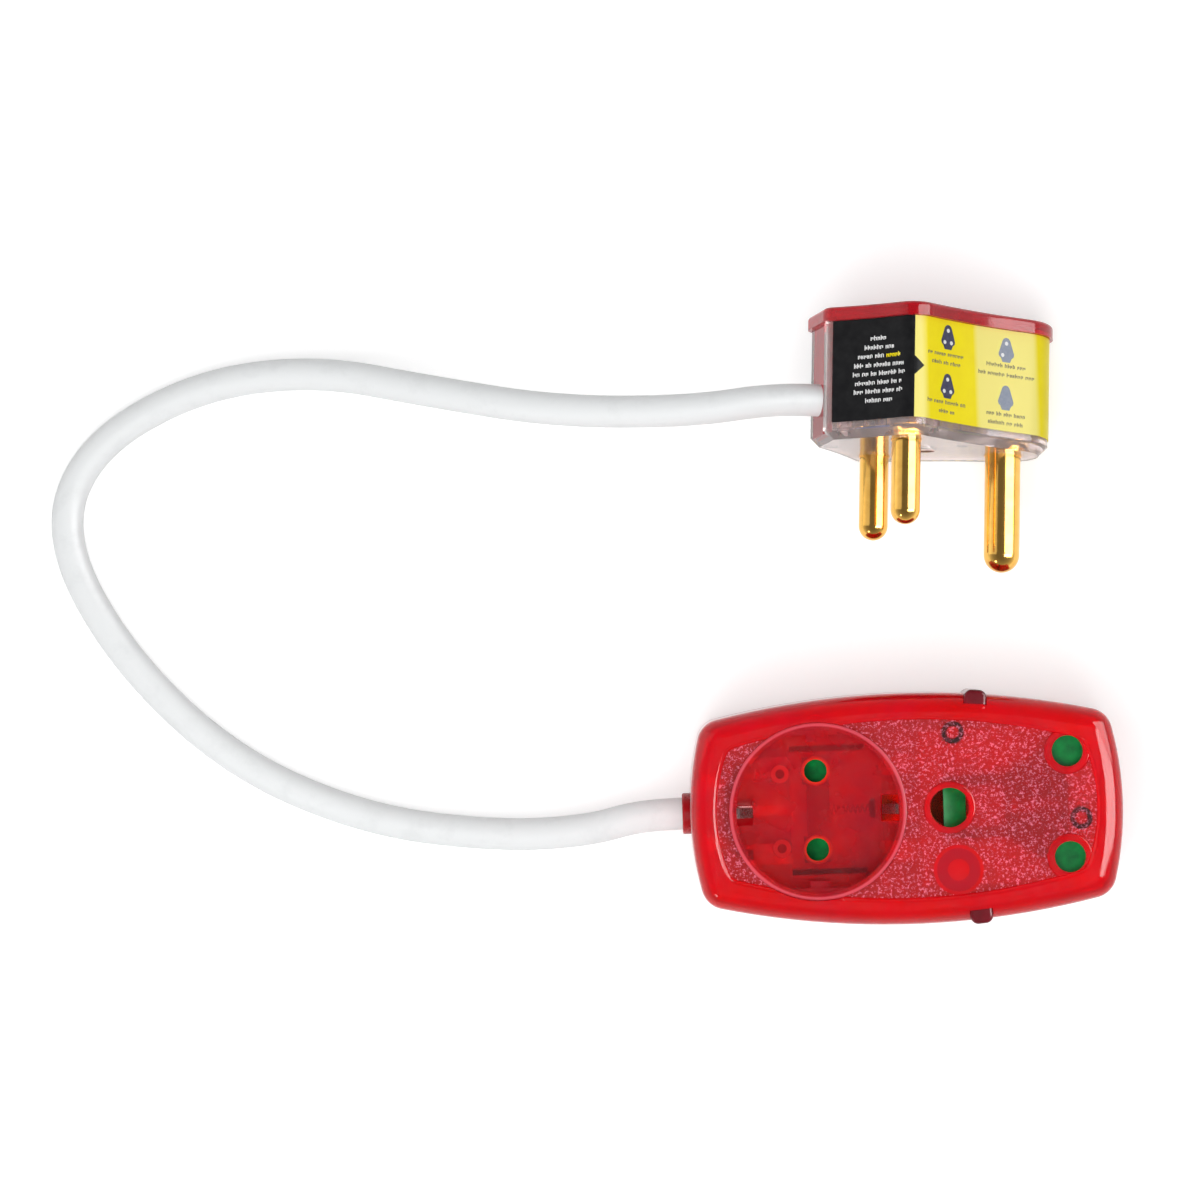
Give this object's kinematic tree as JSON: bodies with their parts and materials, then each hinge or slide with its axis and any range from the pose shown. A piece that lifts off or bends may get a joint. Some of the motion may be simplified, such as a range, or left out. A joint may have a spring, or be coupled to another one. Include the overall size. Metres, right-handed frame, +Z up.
{
  "type": "surge protector adapter",
  "caption": "Flat coupler with a shuttered round pin socket and a recessed round socket, joined by a short cord to an earthed plug with a clear base and surge arresters.",
  "frame": {"origin": "centre of the underside of the coupler, on the floor", "axes": "+X along the coupler from its cord end to the live and neutral holes, +Z up out of the sockets, +Y towards the plug in the stored pose"},
  "size_m": [0.2575, 0.1498, 0.0499],
  "materials": {
    "housing_red": "tinted, slightly see-through gloss",
    "tray_red": "tinted gloss",
    "recess_red": "tinted gloss",
    "clip_red": "satin",
    "gland_red": "satin",
    "shutter_green": "satin",
    "inner_white": "moulded",
    "spring_steel": "drawn wire",
    "contact_brass": "stamped",
    "inner_red": "tinted, moulded",
    "strap_steel": "stamped",
    "screw_steel": "zinc plated",
    "pin_brass": "polished",
    "cord_white": "satin PVC",
    "core_brown": "satin PVC",
    "core_blue": "satin PVC",
    "core_earth": "satin PVC",
    "clear_base": "clear gloss",
    "cap_red": "tinted gloss",
    "saddle_red": "gloss",
    "label_print": "printed film",
    "board_green": "solder mask",
    "varistor_blue": "dipped lacquer",
    "lamp_clear": "clear resin",
    "fuse_white": "ceramic"
  },
  "bodies": {
    "coupler": {"upper_housing": "housing_red", "lower_housing": "tray_red", "snap_clips": "clip_red", "housing_screws": "screw_steel", "socket_recess": "recess_red", "earth_strap": "strap_steel", "shutter_spring": "spring_steel", "shutter_frame": "inner_red", "round_shutter_spring": "spring_steel", "round_shutter_plate": "inner_red", "live_socket": "contact_brass", "neutral_socket": "contact_brass", "earth_socket": "contact_brass", "live_round_contact": "contact_brass", "neutral_round_contact": "contact_brass", "live_bar": "contact_brass", "neutral_bar": "contact_brass", "earth_bar": "contact_brass", "terminal_screws": "screw_steel", "live_core": "core_brown", "neutral_core": "core_blue", "earth_core": "core_earth", "cord_gland": "gland_red", "cord_tail": "cord_white", "cord_clamp": "inner_white", "cord_clamp_screws": "screw_steel", "supply_cord": "cord_white", "plug_base": "clear_base", "plug_cap": "cap_red", "plug_label": "label_print", "plug_live_pin": "pin_brass", "plug_neutral_pin": "pin_brass", "plug_earth_pin": "pin_brass", "plug_terminal_screws": "screw_steel", "plug_cord_saddle": "saddle_red", "plug_cord_tail": "cord_white", "plug_cord_clamp": "inner_white", "plug_clamp_screws": "screw_steel", "plug_circuit_board": "board_green", "plug_varistors": "varistor_blue", "plug_lamps": "lamp_clear", "plug_thermal_fuse": "fuse_white", "plug_cap_screw": "screw_steel", "plug_live_core": "core_brown", "plug_neutral_core": "core_blue", "plug_earth_core": "core_earth"},
    "shutter_slider": {"shutter": "shutter_green"},
    "round_shutter_slider": {"round_shutter": "shutter_green"}
  },
  "joints": [
    {"name": "shutter_slide", "type": "slide", "parent": "coupler", "child": "shutter_slider", "axis": [-1, 0, 0], "range_m": [0, 0.0088], "stiffness_N_per_m": 100, "springref_m": -0.003, "deforming": ["shutter_spring"]},
    {"name": "round_shutter_slide", "type": "slide", "parent": "coupler", "child": "round_shutter_slider", "axis": [1, 0, 0], "range_m": [0, 0.0062], "stiffness_N_per_m": 60, "springref_m": -0.002, "deforming": ["round_shutter_spring"]}
  ]
}
